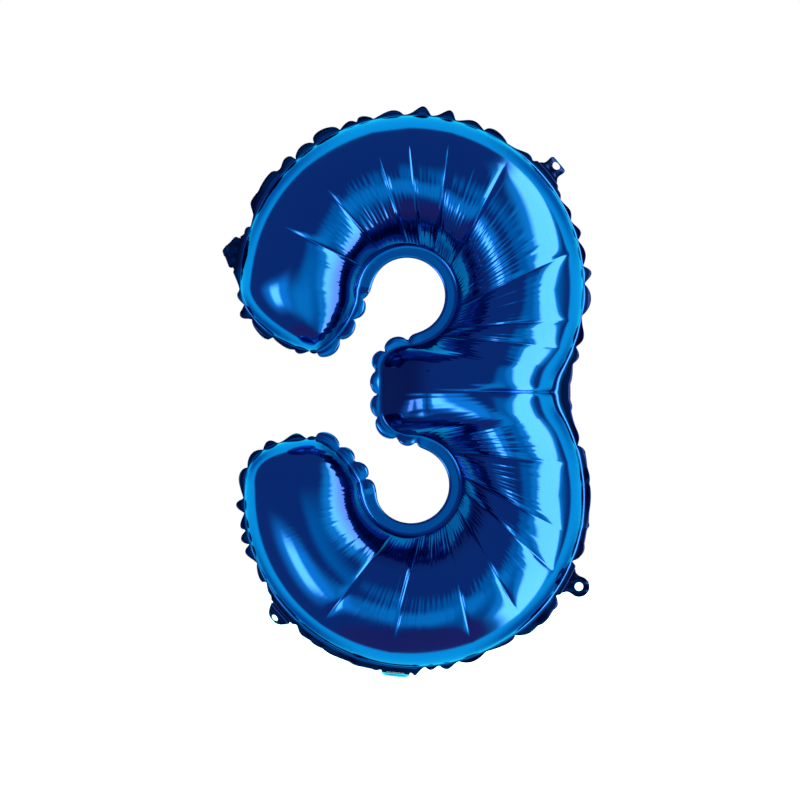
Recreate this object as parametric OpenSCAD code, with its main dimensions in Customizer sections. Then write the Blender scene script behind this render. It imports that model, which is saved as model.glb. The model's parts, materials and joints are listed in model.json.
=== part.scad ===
// Foil number balloon, the digit three, inflated.
// Two films are welded together along a scalloped seam margin and blown up between the welds.
// The digit stands in the XZ plane and faces -Y. +Z is up. The origin is below its middle.
// Every outline point is [x, z], measured from the centre of the upper lobe, until place() moves it.

/* [Lobes] */
// Radius of the upper lobe's outer seam
upper_r = 109.4; // [98:0.1:126]
// Radius of the lower lobe's outer seam
lower_r = 108.1; // [98:0.1:126]
// Height from the lower lobe's centre to the upper lobe's
lobe_spacing = 133.6; // [122:0.1:150]
// How far the lower lobe's centre stands to the right of the upper's
lower_step = 1.3; // [-6:0.1:6]
// Radius of the hollow that joins the two lobes at the waist
waist_r = 27; // [18:0.5:34]

/* [Counters] */
// Radius of the inner seam round the upper counter
upper_counter_r = 31.8; // [26:0.1:38]
// Upper counter's centre, right of and above the upper lobe's centre
upper_counter_at = [-3.2, -5.7]; // [-12:0.1:12]
// Radius of the inner seam round the lower counter
lower_counter_r = 31.8; // [26:0.1:38]
// Lower counter's centre, right of and above the lower lobe's centre
lower_counter_at = [-1.9, 7.6]; // [-12:0.1:12]

/* [Middle bar and ends] */
// How far the middle bar's end seam lies left of the upper lobe's centre
bar_reach = 19.7; // [10:0.1:26]
// Height of the straight part of the middle bar's end seam
bar_flat = 26; // [16:0.5:32]
// Tip of the upper end, right of and above the upper lobe's centre
upper_tip_at = [-62.3, -40.7]; // [-80:0.1:0]
// Tip of the lower end, right of and above the lower lobe's centre
lower_tip_at = [-64.9, 36.9]; // [-80:0.1:80]
// Roundness of the upper end: handle lengths at the lobe, tip outside, tip inside and counter
upper_end_handles = [19, 18, 9.5, 16]; // [5:0.5:30]
// Roundness of the lower end, in the same order
lower_end_handles = [22, 22, 12.7, 9.5]; // [5:0.5:30]

/* [Inflation] */
// Depth from the seam's plane to the crown of the lobes
crown_depth = 33; // [24:0.5:38]
// Power that rounds the section: 0.5 is nearly a circle, 1 is a ridge
section_power = 0.6; // [0.5:0.01:0.8]

/* [Film and welds] */
// Thickness of one film
ply = 0.25; // [0.15:0.01:0.5]
// Thickness of the weld between the two films
weld = 0.3; // [0.25:0.01:0.6]
// Width of the outer seam margin at the tip of a scallop
outer_margin = 5; // [3:0.1:9]
// Width of the outer seam margin between two scallops, and where a tab or the tail joins
outer_valley = 3; // [1.5:0.1:5]
// Width of the inner seam margin round the counters
inner_margin = 7.6; // [4:0.1:9]
// How much narrower the inner margin is between the scallops of the ends and the bar
inner_valley_cut = 3; // [0:0.1:4]

/* [Hanging tabs] */
// Radius of the punched hole
hole_r = 2.7; // [1.5:0.1:4]
// Radius of the tab's round end
tab_end_r = 6.5; // [5:0.1:10]
// Distance from the fold line to the hole's centre
tab_hole_at = 7.5; // [5:0.1:14]
// Width of the tab along its fold line
tab_root_w = 18; // [14:0.5:24]
// Gap between the seam margin and a flap's rounded root
fold_gap = 0.35; // [0.3:0.01:0.6]
// Direction of the left tab from the upper lobe's centre
left_tab_angle = 169; // [160:0.5:174]
// Direction of the upper right tab from the upper lobe's centre
upper_right_tab_angle = 40; // [25:0.5:60]
// Direction of the lower left tab from the lower lobe's centre
lower_left_tab_angle = -139; // [-150:0.5:-125]
// Direction of the lower right tab from the lower lobe's centre
lower_right_tab_angle = -28.5; // [-60:0.5:-15]

/* [Inflation tail and valve] */
// Direction of the tail from the lower lobe's centre
tail_angle = -96; // [-110:0.5:-80]
// Width of the tail
tail_w = 18; // [14:0.5:24]
// Length of the tail beyond its fold line
tail_l = 16; // [10:0.5:30]
// How far the tail is folded back from the film's plane
tail_fold = 82; // [60:1:90]
// Corner radius at the tail's mouth
tail_corner_r = 4; // [2:0.5:6]
// Width of the air channel, and of the valve films in it
channel_w = 12; // [8:0.5:13]
// Thickness of one valve film
valve_film = 0.12; // [0.08:0.01:0.12]
// Length of the valve inside the balloon
valve_l = 55; // [30:1:70]
// Side clearance of the valve in the weld
valve_clearance = 0.2; // [0.1:0.05:0.5]

/* [Hidden] */
$fn = 64;

foil_blue = [0.02, 0.16, 0.62];
weld_blue = [0.03, 0.10, 0.40];
clear_film = [0.85, 0.90, 0.95, 0.5];

// ---- plane helpers ----
function polar(a) = [cos(a), sin(a)];
function lerp(a, b, t) = a + (b - a) * t;
function turn_left(v) = [-v[1], v[0]];
function unit(v) = v / norm(v);
// n + 1 values from a to b, without the first one
function steps(a, b, n) = [for (i = [1 : n]) lerp(a, b, i / n)];
// A cubic Bezier curve through a and d, with handles b and c
function bezier(a, b, c, d, t) =
    a * pow(1 - t, 3) + 3 * b * t * pow(1 - t, 2) + 3 * c * t * t * (1 - t) + d * pow(t, 3);

// ---- where the lobes, counters and ends lie, from the upper lobe's centre ----
upper_c = [0, 0];
lower_c = [lower_step, -lobe_spacing];
upper_hole_c = upper_c + upper_counter_at;
lower_hole_c = lower_c + lower_counter_at;
upper_tip = upper_c + upper_tip_at;
lower_tip = lower_c + lower_tip_at;

// The waist is an arc that touches both lobes from outside, to their right.
axis_down = unit(lower_c - upper_c);
axis_gap = norm(lower_c - upper_c);
waist_along = (pow(upper_r + waist_r, 2) - pow(lower_r + waist_r, 2) + axis_gap * axis_gap)
    / (2 * axis_gap);
waist_across = sqrt(pow(upper_r + waist_r, 2) - waist_along * waist_along);
waist_c = upper_c + axis_down * waist_along + turn_left(axis_down) * waist_across;
waist_top_angle = atan2(waist_c[1] - upper_c[1], waist_c[0] - upper_c[0]);
waist_low_angle = atan2(waist_c[1] - lower_c[1], waist_c[0] - lower_c[0]);
waist_mid_angle = 180 + (waist_top_angle + waist_low_angle) / 2;

// The two long seams run side by side from the upper end to the lower end: the outer one over the
// lobes and in at the waist, the inner one round the counters and out to the middle bar.
N_END = 10;     // columns of the grid along half of an end
N_LOBE = 56;    // along a lobe
N_WAIST = 6;    // along half of the waist
TIP_START = 0.15; // where the seams start along the end curves, so that the tip has a width
upper_out_angle = 180;
upper_in_angle = 175;
lower_out_angle = -184;
lower_in_angle = -175;
bar_turn_angle = 62;   // the counter's angle that lies across from the start of the waist

function upper_lobe_pt(a) = upper_c + upper_r * polar(a);
function lower_lobe_pt(a) = lower_c + lower_r * polar(a);
function waist_pt(a) = waist_c + waist_r * polar(a);
function upper_hole_pt(a) = upper_hole_c + upper_counter_r * polar(a);
function lower_hole_pt(a) = lower_hole_c + lower_counter_r * polar(a);

// Half of an end, from the tip to a round seam. Its handles leave the tip sideways.
function end_curve(tip, goal, side, back, tip_handle, goal_handle) =
    [for (i = [0 : N_END])
        bezier(tip, tip + side * tip_handle, goal + back * goal_handle, goal,
               lerp(TIP_START, 1, i / N_END))];
upper_end_out = end_curve(upper_tip, upper_lobe_pt(upper_out_angle), [-1, 0], [0, -1],
                          upper_end_handles[1], upper_end_handles[0]);
upper_end_in = end_curve(upper_tip, upper_hole_pt(upper_in_angle), [1, 0], [0, -1],
                         upper_end_handles[2], upper_end_handles[3]);
lower_end_out = end_curve(lower_tip, lower_lobe_pt(lower_out_angle), [-1, 0], [0, 1],
                          lower_end_handles[1], lower_end_handles[0]);
lower_end_in = end_curve(lower_tip, lower_hole_pt(lower_in_angle), [1, 0], [0, 1],
                         lower_end_handles[2], lower_end_handles[3]);
function backwards(list) = [for (i = [len(list) - 2 : -1 : 0]) list[i]];

// The bar's end: a corner from the counter's foot, half the flat, and the same again mirrored.
bar_x = upper_c[0] - bar_reach;
bar_mid_z = (upper_hole_pt(-90)[1] + lower_hole_pt(90)[1]) / 2;
function bar_corner(from, z_sign) =
    let(to = [bar_x, bar_mid_z + z_sign * bar_flat / 2],
        reach_x = (from[0] - to[0]) * 0.55,
        reach_z = (from[1] - to[1]) * 0.55)
    [for (i = [0 : 3]) bezier(from, from - [reach_x, 0], to + [0, reach_z], to, i / 3)];
upper_corner = bar_corner(upper_hole_pt(-90), 1);
lower_corner = bar_corner(lower_hole_pt(90), -1);
bar_mid = [bar_x, bar_mid_z];

outer_seam = concat(
    upper_end_out,
    [for (a = steps(upper_out_angle, waist_top_angle, N_LOBE)) upper_lobe_pt(a)],
    [for (a = steps(180 + waist_top_angle, waist_mid_angle, N_WAIST)) waist_pt(a)],
    [for (a = steps(waist_mid_angle, 180 + waist_low_angle, N_WAIST)) waist_pt(a)],
    [for (a = steps(waist_low_angle, lower_out_angle, N_LOBE)) lower_lobe_pt(a)],
    backwards(lower_end_out));
inner_seam = concat(
    upper_end_in,
    [for (a = steps(upper_in_angle, -bar_turn_angle, N_LOBE)) upper_hole_pt(a)],
    [for (a = steps(-bar_turn_angle, -90, 2)) upper_hole_pt(a)],
    [for (i = [1 : 3]) upper_corner[i]],
    [bar_mid],
    [for (i = [3 : -1 : 0]) lower_corner[i]],
    [for (a = steps(90, bar_turn_angle, 2)) lower_hole_pt(a)],
    [for (a = steps(bar_turn_angle, lower_in_angle, N_LOBE)) lower_hole_pt(a)],
    backwards(lower_end_in));
LAST = len(outer_seam) - 1;

// ---- the cut edge of the seam margin ----
// The direction of a seam at point i, from the points on both sides of it
function along(seam, i) = unit(seam[min(i + 1, LAST)] - seam[max(i - 1, 0)]);
// Half a flap's root is cut straight for the flap to join, and one grid column past it, so that a
// scallop never starts beside the fold
column_step = 2 * PI * max(upper_r * (180 - waist_top_angle), lower_r * (waist_low_angle - lower_out_angle))
    / 360 / N_LOBE;
flap_half = max(tab_root_w, tail_w) / 2 + 0.5 + column_step;
flaps = [[upper_c, upper_r, left_tab_angle], [upper_c, upper_r, upper_right_tab_angle],
         [lower_c, lower_r, lower_left_tab_angle], [lower_c, lower_r, lower_right_tab_angle],
         [lower_c, lower_r, tail_angle]];
// Sideways distance of p from the middle line of a flap, or far if p is not near the flap
function off_flap(p, flap) =
    let(v = p - flap[0], d = polar(flap[2]), out = v * d)
    out < flap[1] * 0.9 ? 1000 : abs(v * turn_left(d));
function flap_near(p) =
    [for (flap = flaps) if (off_flap(p, flap) < flap_half) flap];
// Scalloped edge point of the outer margin, straight where a flap joins it
function outer_edge(i) =
    let(p = outer_seam[i], near = flap_near(p), out = turn_left(along(outer_seam, i)))
    len(near) > 0
    ? let(d = polar(near[0][2]), v = p - near[0][0])
      near[0][0] + v * ((near[0][1] + outer_valley) / (v * d))
    : p + out * (i % 2 == 1 ? outer_margin : outer_valley);
// The inner margin is smooth round the counters, and scalloped on the ends and the bar. The end's
// scallops are two columns wide on each side.
function inner_edge(i) =
    let(from_tip = min(i, LAST - i),
        end_valley = from_tip <= N_END && floor(from_tip / 2) % 2 == 0,
        bar_valley = abs(i - LAST / 2) <= 3 && i % 2 == 0,
        cut = end_valley || bar_valley ? inner_valley_cut : 0)
    inner_seam[i] - turn_left(along(inner_seam, i)) * (inner_margin - cut);
outer_cut = [for (i = [0 : LAST]) outer_edge(i)];
inner_cut = [for (i = [0 : LAST]) inner_edge(i)];

// ---- how far the films stand apart ----
// Soft distance from p to the seams: 2 / d^2 is the sum, over the seam's straight pieces, of the
// integral of 1 / r^3. It is the plain distance close to one seam and has no ridge between two.
seam_loop = concat(outer_seam, [for (i = [LAST : -1 : 0]) inner_seam[i]]);
SEAM_COUNT = len(seam_loop);
function piece_share(p, a, b) =
    let(u = unit(b - a), d2 = max(pow((p - a) * turn_left(u), 2), 1e-6),
        x1 = (a - p) * u, x2 = (b - p) * u)
    (x2 / sqrt(d2 + x2 * x2) - x1 / sqrt(d2 + x1 * x1)) / d2;
function total(list, i, sum) = i < 0 ? sum : total(list, i - 1, sum + list[i]);
function seam_distance(p) =
    let(shares = [for (i = [0 : SEAM_COUNT - 1])
            piece_share(p, seam_loop[i], seam_loop[(i + 1) % SEAM_COUNT])])
    sqrt(2 / total(shares, SEAM_COUNT - 1, 0));
lobe_width = upper_r - upper_counter_r;
crown_factor = crown_depth / pow(lobe_width / (2 * sqrt(2)), section_power);
function bulge(d) = d <= 0 ? 0 : crown_factor * pow(d, section_power);

// ---- the film grid: columns across the stroke, rows from cut edge to cut edge ----
SHARES = [0.05, 0.17, 0.36, 0.6, 0.82, 0.95];   // rows between the outer and the inner seam
ROWS = len(SHARES) + 4;
function column(i) = concat(
    [outer_cut[i], outer_seam[i]],
    [for (t = SHARES) lerp(outer_seam[i], inner_seam[i], t)],
    [inner_seam[i], inner_cut[i]]);
// The margin past the tip of an end. Its two corners stand back, so that it ends round.
function end_column(i, back) =
    let(tip_column = column(i))
    [for (r = [0 : ROWS - 1])
        let(corner = r == 0 || r == ROWS - 1,
            inwards = r == 0 ? tip_column[1] - tip_column[0] : tip_column[ROWS - 2] - tip_column[r])
        tip_column[r] + (corner ? inwards * 0.4 + back * outer_valley : back * outer_margin)];
grid = concat([end_column(0, [0, -1])], [for (i = [0 : LAST]) column(i)],
              [end_column(LAST, [0, 1])]);
COLUMNS = len(grid);
distances = [for (c = [0 : COLUMNS - 1])
    [for (r = [0 : ROWS - 1])
        c <= 1 || c >= COLUMNS - 2 || r <= 1 || r >= ROWS - 2 ? 0 : seam_distance(grid[c][r])]];

// ---- where everything stands ----
fold_at = outer_valley + fold_gap + ply + weld / 2;   // fold line, outside the seam
flap_t = 2 * ply + weld;                              // both films and the weld
left_end = upper_c[0] + (upper_r + fold_at + tab_hole_at) * cos(left_tab_angle) - tab_end_r;
right_end = max(upper_c[0] + upper_r, lower_c[0] + lower_r) + outer_margin;
tail_drop = tail_l * cos(tail_fold) + flap_t / 2;
low_end = lower_c[1] + (lower_r + fold_at) * sin(tail_angle) - tail_drop;
middle_x = (left_end + right_end) / 2;
module place() {
    translate([-middle_x, 0, -low_end])
        children();
}

// One film: a shell over the grid, with its outer face ply outside its inner face.
// side is -1 for the film that faces -Y, and 1 for the one behind.
module film(side) {
    outer_pts = [for (c = [0 : COLUMNS - 1]) for (r = [0 : ROWS - 1])
        [grid[c][r][0], side * (weld / 2 + ply + bulge(distances[c][r])), grid[c][r][1]]];
    inner_pts = [for (c = [0 : COLUMNS - 1]) for (r = [0 : ROWS - 1])
        [grid[c][r][0], side * (weld / 2 + bulge(distances[c][r] - ply)), grid[c][r][1]]];
    count = COLUMNS * ROWS;
    function at(c, r) = c * ROWS + r;
    skin = [for (c = [0 : COLUMNS - 2]) for (r = [0 : ROWS - 2])
        for (tri = [[at(c, r), at(c + 1, r), at(c + 1, r + 1)],
                    [at(c, r), at(c + 1, r + 1), at(c, r + 1)]]) tri];
    rim = concat(
        [for (c = [0 : COLUMNS - 1]) at(c, 0)],
        [for (r = [1 : ROWS - 1]) at(COLUMNS - 1, r)],
        [for (c = [COLUMNS - 2 : -1 : 0]) at(c, ROWS - 1)],
        [for (r = [ROWS - 2 : -1 : 1]) at(0, r)]);
    RIM = len(rim);
    lining = [for (tri = skin) [tri[0] + count, tri[2] + count, tri[1] + count]];
    edge = [for (i = [0 : RIM - 1])
        let(a = rim[i], b = rim[(i + 1) % RIM])
        for (tri = [[a, b + count, b], [a, a + count, b + count]]) tri];
    faces = concat(skin, lining, edge);
    polyhedron(concat(outer_pts, inner_pts),
               side < 0 ? faces : [for (tri = faces) [tri[0], tri[2], tri[1]]]);
}

module front_panel() {
    color(foil_blue) place() film(-1);
}

module back_panel() {
    color(foil_blue) place() film(1);
}

// Turns a drawing of [x, z] points into a slab that is centred on the seam's plane
module upright(thickness) {
    rotate([90, 0, 0])
        linear_extrude(thickness, center = true)
            children();
}

// From a lobe's centre outwards along one direction: x runs outwards, from the fold line
module at_flap(centre, radius, angle) {
    translate([centre[0], 0, centre[1]])
        rotate([0, -angle, 0])
            translate([radius + fold_at, 0, 0])
                children();
}

// The melted inner layers of both films, between the seam and the cut edge, open for the valve
module heat_seal() {
    color(weld_blue) place() difference() {
        upright(weld)
            difference() {
                polygon(grid_edge_points());
                polygon(seam_loop);
            }
        at_flap(lower_c, lower_r, tail_angle)
            cube([4 * outer_margin + 2 * fold_at, 2 * weld, channel_w + 2 * valve_clearance],
                 center = true);
    }
}
function grid_edge_points() = concat(
    [for (c = [0 : COLUMNS - 1]) grid[c][0]],
    [for (r = [2 : ROWS - 3]) grid[COLUMNS - 1][r]],
    [for (c = [COLUMNS - 1 : -1 : 0]) grid[c][ROWS - 1]],
    [for (r = [ROWS - 3 : -1 : 2]) grid[0][r]]);

// One flat film of the valve, from the cut edge up into the balloon
module valve_strip(side) {
    length = outer_valley + valve_l;
    color(clear_film) place()
        at_flap(lower_c, lower_r, tail_angle)
            translate([outer_valley - fold_at - length / 2, side * (weld - valve_film) / 2, 0])
                cube([length, valve_film, channel_w], center = true);
}

module valve_front_film() {
    valve_strip(-1);
}

module valve_back_film() {
    valve_strip(1);
}

// The tail: a flat tube of both films, rounded at its root and its mouth, folded back
module inflation_tail() {
    color(foil_blue) place()
        at_flap(lower_c, lower_r, tail_angle)
            rotate([0, 0, tail_fold])
                difference() {
                    union() {
                        upright(flap_t) tail_outline();
                        cylinder(r = flap_t / 2, h = tail_w, center = true);
                    }
                    translate([tail_l / 2, 0, 0])
                        cube([tail_l + 4 * flap_t, weld, channel_w], center = true);
                }
}
module tail_outline() {
    side = tail_w / 2 - tail_corner_r;
    translate([0, -tail_w / 2]) square([tail_l - tail_corner_r, tail_w]);
    translate([0, -side]) square([tail_l, 2 * side]);
    for (s = [-1, 1])
        translate([tail_l - tail_corner_r, s * side]) circle(tail_corner_r);
}

// A hanging tab: flanks from the fold line that touch the round end, and a punched hole
module hanging_tab(centre, radius, angle) {
    reach = norm([tab_hole_at, tab_root_w / 2]);
    touch = atan2(tab_root_w / 2, -tab_hole_at) - acos(tab_end_r / reach);
    touch_x = tab_hole_at + tab_end_r * cos(touch);
    touch_y = tab_end_r * sin(touch);
    color(foil_blue) place()
        at_flap(centre, radius, angle)
            difference() {
                union() {
                    upright(flap_t) {
                        polygon([[0, -tab_root_w / 2], [touch_x, -touch_y],
                                 [touch_x, touch_y], [0, tab_root_w / 2]]);
                        translate([tab_hole_at, 0]) circle(tab_end_r);
                    }
                    cylinder(r = flap_t / 2, h = tab_root_w, center = true);
                }
                translate([tab_hole_at, 0, 0])
                    rotate([90, 0, 0])
                        cylinder(r = hole_r, h = 4 * flap_t, center = true);
            }
}

module tab_left() {
    hanging_tab(upper_c, upper_r, left_tab_angle);
}

module tab_upper_right() {
    hanging_tab(upper_c, upper_r, upper_right_tab_angle);
}

module tab_lower_left() {
    hanging_tab(lower_c, lower_r, lower_left_tab_angle);
}

module tab_lower_right() {
    hanging_tab(lower_c, lower_r, lower_right_tab_angle);
}

front_panel();
back_panel();
heat_seal();
valve_front_film();
valve_back_film();
inflation_tail();
tab_left();
tab_upper_right();
tab_lower_left();
tab_lower_right();
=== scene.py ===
# %% [markdown]
# # A foil number balloon, made as sheets of film
# The real balloon is two flat sheets of metallised film, welded together along the numeral's
# outline and blown up. Everything that catches the eye comes from that: the fat round strokes,
# the frilled edge outside the weld, and the pleats round the two holes, where film that was flat
# has to go round a shorter way. This lesson builds the films as grids of numbers with numpy,
# because a pleat that runs straight across the stroke is then one line of the grid.

# %% Load the frame
import json
import bpy
import numpy as np
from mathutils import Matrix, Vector


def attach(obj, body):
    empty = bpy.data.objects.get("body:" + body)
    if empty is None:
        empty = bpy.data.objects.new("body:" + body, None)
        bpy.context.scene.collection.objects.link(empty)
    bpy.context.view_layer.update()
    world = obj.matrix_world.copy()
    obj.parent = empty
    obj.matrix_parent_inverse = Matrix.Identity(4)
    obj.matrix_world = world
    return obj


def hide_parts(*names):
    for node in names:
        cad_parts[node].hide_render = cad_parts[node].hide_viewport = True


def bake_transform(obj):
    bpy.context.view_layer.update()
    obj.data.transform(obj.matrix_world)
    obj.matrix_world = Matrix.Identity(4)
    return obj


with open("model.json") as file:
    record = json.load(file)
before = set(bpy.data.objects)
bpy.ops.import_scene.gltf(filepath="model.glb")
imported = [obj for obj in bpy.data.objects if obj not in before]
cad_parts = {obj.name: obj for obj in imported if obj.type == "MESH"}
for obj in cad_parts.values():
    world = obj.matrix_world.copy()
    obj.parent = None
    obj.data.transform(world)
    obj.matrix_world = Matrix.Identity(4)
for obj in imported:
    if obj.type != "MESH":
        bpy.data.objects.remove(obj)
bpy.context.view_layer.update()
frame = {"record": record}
record = frame["record"]

# %% [markdown]
# ## The driving sizes
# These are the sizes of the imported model, in metres: two round lobes, two round counters (the
# holes a letter-cutter leaves), the bar between them and the fold lines of the flaps. The lobes'
# places are not typed in. They are worked back from the hanging holes in the frame, so the film
# can't drift away from the tabs.

# %% Sizes and places
MM = 0.001
UPPER_R, LOWER_R, WAIST_R = 109.4 * MM, 108.1 * MM, 27 * MM
HOLE_R = 31.8 * MM                    # both counters have this radius
CROWN_DEPTH, SECTION_POWER = 33 * MM, 0.6
INNER_MARGIN = 7.6 * MM
BAR_REACH, BAR_HALF = 19.7 * MM, 13 * MM      # how far left the bar ends, and half its flat end
TAB_ROOT_MM = 7.5                             # from a tab's hole back to its fold line
FOLD_AT, TAB_HOLE_AT, TAB_HOLE_R, TAB_END_R = 3.75 * MM, TAB_ROOT_MM * MM, 2.7 * MM, 6.5 * MM
FILM, WELD = 0.08 * MM, 0.10 * MM     # nearer the real film than the frame's stand-in shells
FLAP_ANGLES = {"tab_left": 169, "tab_upper_right": 40, "tab_lower_left": -139,
               "tab_lower_right": -28.5, "tail": -96}
UPPER_FLAPS = ("tab_left", "tab_upper_right")
TAIL_FOLD, TAIL_L, TAIL_HALF_MM = 82, 16 * MM, 9


def polar(degrees):
    """Unit vectors [x, z] at angles in degrees, counted from +X towards +Z."""
    a = np.radians(np.asarray(degrees, float))
    return np.stack([np.cos(a), np.sin(a)], -1)


def hanging_hole(name):
    """The [x, z] of a hanging hole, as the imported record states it."""
    at = next(m["pos_m"] for m in record["mounts"] if m["name"] == "hang_" + name[4:])
    return np.array([at[0], at[2]])


def lobe_centre(name, radius):
    """A lobe's centre: inwards from a tab's hole by the radius, the fold's and the hole's places."""
    return hanging_hole(name) - (radius + FOLD_AT + TAB_HOLE_AT) * polar(FLAP_ANGLES[name])


upper_c = lobe_centre("tab_upper_right", UPPER_R)
lower_c = lobe_centre("tab_lower_right", LOWER_R)
upper_hole_c = upper_c + np.array([-3.2, -5.7]) * MM
lower_hole_c = lower_c + np.array([-1.9, 7.6]) * MM
upper_tip = upper_c + np.array([-62.3, -40.7]) * MM
lower_tip = lower_c + np.array([-64.9, 36.9]) * MM
print("lobe centres (mm):", upper_c / MM, lower_c / MM)


def lobe_of(name):
    """The centre and radius of the lobe that a flap grows from."""
    return (upper_c, UPPER_R) if name in UPPER_FLAPS else (lower_c, LOWER_R)


# %% [markdown]
# ## The two long seams
# A numeral three is one stroke with a bar growing out of its middle. Its outline can be cut at the
# two stroke ends into an outer seam and an inner seam, and both can be walked side by side from
# the top end to the bottom end. Arcs and Bezier curves give the same outline as the frame, only
# with many more points, so the wrinkles that follow have something to bend.

# %% Seams as arcs and curves
END, LOBE, WAIST = 44, 500, 44      # grid columns along half an end, a lobe and half the waist
TIP_START = 0.05                    # where the seams start, so that a stroke end has a blunt tip


def arc(centre, radius, start, stop, n):
    """n points of a circle, evenly from one angle to another, without the first one."""
    return centre + radius * polar(np.linspace(start, stop, n + 1)[1:])


def bezier(a, b, c, d, t):
    """A cubic Bezier curve through a and d with handles b and c, at the shares t."""
    t = t[:, None]
    return a * (1 - t) ** 3 + 3 * b * t * (1 - t) ** 2 + 3 * c * t * t * (1 - t) + d * t ** 3


def lengths(line):
    """How far along a line each of its points lies, from its first point."""
    return np.concatenate([[0], np.cumsum(np.linalg.norm(np.diff(line, axis=0), axis=1))])


def even_steps(line, n):
    """The points of a line at n even steps, from its first point to its last."""
    length = lengths(line)
    even = np.linspace(0, length[-1], n + 1)
    return np.stack([np.interp(even, length, line[:, k]) for k in (0, 1)], 1)


def end_curve(tip, goal, side, back, tip_handle, goal_handle):
    """Half a stroke end: it leaves the tip sideways and meets a round seam along the stroke."""
    t = np.linspace(TIP_START, 1, END + 1)
    return bezier(tip, tip + np.array([side, 0]) * tip_handle * MM,
                  goal + np.array([0, back]) * goal_handle * MM, goal, t)


down = lower_c - upper_c
gap = np.linalg.norm(down)
down = down / gap
along = ((UPPER_R + WAIST_R) ** 2 - (LOWER_R + WAIST_R) ** 2 + gap ** 2) / (2 * gap)
across = np.sqrt((UPPER_R + WAIST_R) ** 2 - along ** 2)
waist_c = upper_c + down * along + np.array([-down[1], down[0]]) * across
top_angle, low_angle = (np.degrees(np.arctan2(*(waist_c - c)[::-1])) for c in (upper_c, lower_c))
mid_angle = 180 + (top_angle + low_angle) / 2
bar_x = upper_c[0] - BAR_REACH
bar_mid = np.array([bar_x, ((upper_hole_c - lower_hole_c)[1] / 2 + lower_hole_c[1])])
BAR_TURN = 62                       # the counter's angle across from the start of the waist
CORNER_HANDLE = 0.55                # about the share that makes a Bezier curve a quarter circle
OUTER_ENDS, INNER_ENDS = (180, -184), (175, -175)     # angles where the round seams stop


def bar_side(hole_c, sign):
    """Half the bar's end: the counter's foot, a corner and half the straight end, as even steps."""
    foot = hole_c + HOLE_R * polar(np.linspace(BAR_TURN, 90, 40) * sign)
    corner_to = np.array([bar_x, bar_mid[1] - sign * BAR_HALF])
    reach = (foot[-1] - corner_to) * CORNER_HANDLE
    corner = bezier(foot[-1], foot[-1] - [reach[0], 0], corner_to + [0, reach[1]], corner_to,
                    np.linspace(0, 1, 60)[1:])
    return even_steps(np.concatenate([foot, corner, bar_mid[None]]), WAIST)


outer_seam = np.concatenate([
    end_curve(upper_tip, upper_c + UPPER_R * polar(OUTER_ENDS[0]), -1, -1, 18, 19),
    arc(upper_c, UPPER_R, OUTER_ENDS[0], top_angle, LOBE),
    arc(waist_c, WAIST_R, 180 + top_angle, mid_angle, WAIST),
    arc(waist_c, WAIST_R, mid_angle, 180 + low_angle, WAIST),
    arc(lower_c, LOWER_R, low_angle, OUTER_ENDS[1], LOBE),
    end_curve(lower_tip, lower_c + LOWER_R * polar(OUTER_ENDS[1]), -1, 1, 22, 22)[-2::-1]])
inner_seam = np.concatenate([
    end_curve(upper_tip, upper_hole_c + HOLE_R * polar(INNER_ENDS[0]), 1, -1, 9.5, 16),
    arc(upper_hole_c, HOLE_R, INNER_ENDS[0], -BAR_TURN, LOBE),
    bar_side(upper_hole_c, -1)[1:],
    bar_side(lower_hole_c, 1)[-2::-1],
    arc(lower_hole_c, HOLE_R, BAR_TURN, INNER_ENDS[1], LOBE),
    end_curve(lower_tip, lower_hole_c + HOLE_R * polar(INNER_ENDS[1]), 1, 1, 12.7, 9.5)[-2::-1]])


def outwards(line, turn):
    """Unit vectors square to a line in its plane: turn is 1 for its left side, -1 for its right."""
    step = np.gradient(line, axis=0)
    step /= np.linalg.norm(step, axis=1, keepdims=True)
    return turn * np.stack([-step[:, 1], step[:, 0]], 1)


columns = len(outer_seam)
middle = columns // 2               # the column through the waist and the bar's end
u_outer, u_inner = lengths(outer_seam), lengths(inner_seam)
u_mid = lengths((outer_seam + inner_seam) / 2)
print(columns, "columns; seam lengths (mm):", round(u_outer[-1] / MM), round(u_inner[-1] / MM))

# %% [markdown]
# ## How fat the balloon is
# A tube of film is round because air pushes everywhere alike. Close to a weld the film stands
# steep, and half-way between two welds it is level. A soft distance to the welds gives both: it
# adds up 1 / r^3 along the whole seam, which is the plain distance next to one seam and has no
# sharp ridge between two. Raised to a power of 0.6 it is nearly a circle. Round the counters the
# weld is taut and holds the film lower, so the height is eased there.

# %% Height of the film over the seam's plane
def soft_distance(points, loop):
    """sqrt(2 / the sum over the loop's straight pieces of the integral of 1 / r^3)."""
    a, b = loop, np.roll(loop, -1, 0)
    u = (b - a) / np.linalg.norm(b - a, axis=1, keepdims=True)
    total = np.zeros(len(points))
    for start, way, stop in zip(a, u, b):      # one seam piece at a time, over all the points
        away = points - start
        d2 = np.maximum((away[:, 1] * way[0] - away[:, 0] * way[1]) ** 2, 1e-12)
        x1 = -(away @ way)
        x2 = x1 + (stop - start) @ way
        total += (x2 / np.sqrt(d2 + x2 ** 2) - x1 / np.sqrt(d2 + x1 ** 2)) / d2
    return np.sqrt(2 / total)


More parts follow.
